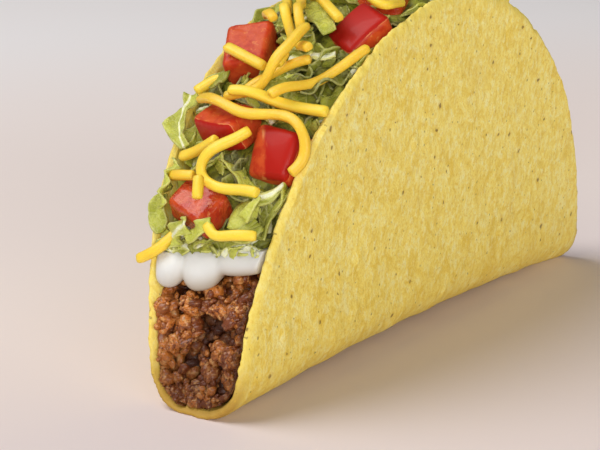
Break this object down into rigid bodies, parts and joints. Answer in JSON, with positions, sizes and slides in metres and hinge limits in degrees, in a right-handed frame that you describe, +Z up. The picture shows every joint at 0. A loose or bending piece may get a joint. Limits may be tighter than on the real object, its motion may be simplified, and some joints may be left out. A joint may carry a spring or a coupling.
{
  "type": "filled taco",
  "caption": "Crisp folded corn taco shell standing on its fold, filled with minced meat, soured cream, shredded lettuce, diced tomato and grated cheese.",
  "frame": {"origin": "on the surface that the taco stands on, under the middle of its box", "axes": "+X along the fold, +Y from the wall with the flatter lean to the other wall, +Z up"},
  "size_m": [0.1428, 0.0402, 0.0811],
  "materials": {
    "shell": "dry crisp corn bread, fine sandy grain",
    "meat": "moist crumbled minced meat",
    "cream": "smooth wet soured cream",
    "lettuce": "fresh leaf, waxy",
    "tomato": "wet tomato skin and flesh",
    "cheese": "soft grated cheese"
  },
  "bodies": {
    "root": {"shell": "shell", "meat": "meat", "sour_cream": "cream", "lettuce": "lettuce", "lettuce_strip_1": "lettuce", "lettuce_strip_2": "lettuce", "lettuce_strip_3": "lettuce", "lettuce_strip_4": "lettuce", "lettuce_strip_5": "lettuce", "lettuce_strip_6": "lettuce", "lettuce_strip_7": "lettuce", "lettuce_strip_8": "lettuce", "lettuce_strip_9": "lettuce", "lettuce_strip_10": "lettuce", "tomato_1": "tomato", "tomato_2": "tomato", "tomato_3": "tomato", "tomato_4": "tomato", "tomato_5": "tomato", "tomato_6": "tomato", "tomato_7": "tomato", "tomato_8": "tomato", "tomato_9": "tomato", "tomato_10": "tomato", "tomato_11": "tomato", "cheese_1": "cheese", "cheese_2": "cheese", "cheese_3": "cheese", "cheese_4": "cheese", "cheese_5": "cheese", "cheese_6": "cheese", "cheese_7": "cheese", "cheese_8": "cheese", "cheese_9": "cheese", "cheese_10": "cheese", "cheese_11": "cheese", "cheese_12": "cheese", "cheese_13": "cheese", "cheese_14": "cheese", "cheese_15": "cheese", "cheese_16": "cheese", "cheese_17": "cheese", "cheese_18": "cheese", "cheese_19": "cheese", "cheese_20": "cheese", "cheese_21": "cheese", "cheese_22": "cheese", "cheese_23": "cheese", "cheese_24": "cheese", "cheese_25": "cheese", "cheese_26": "cheese", "cheese_27": "cheese", "cheese_28": "cheese"}
  },
  "joints": []
}
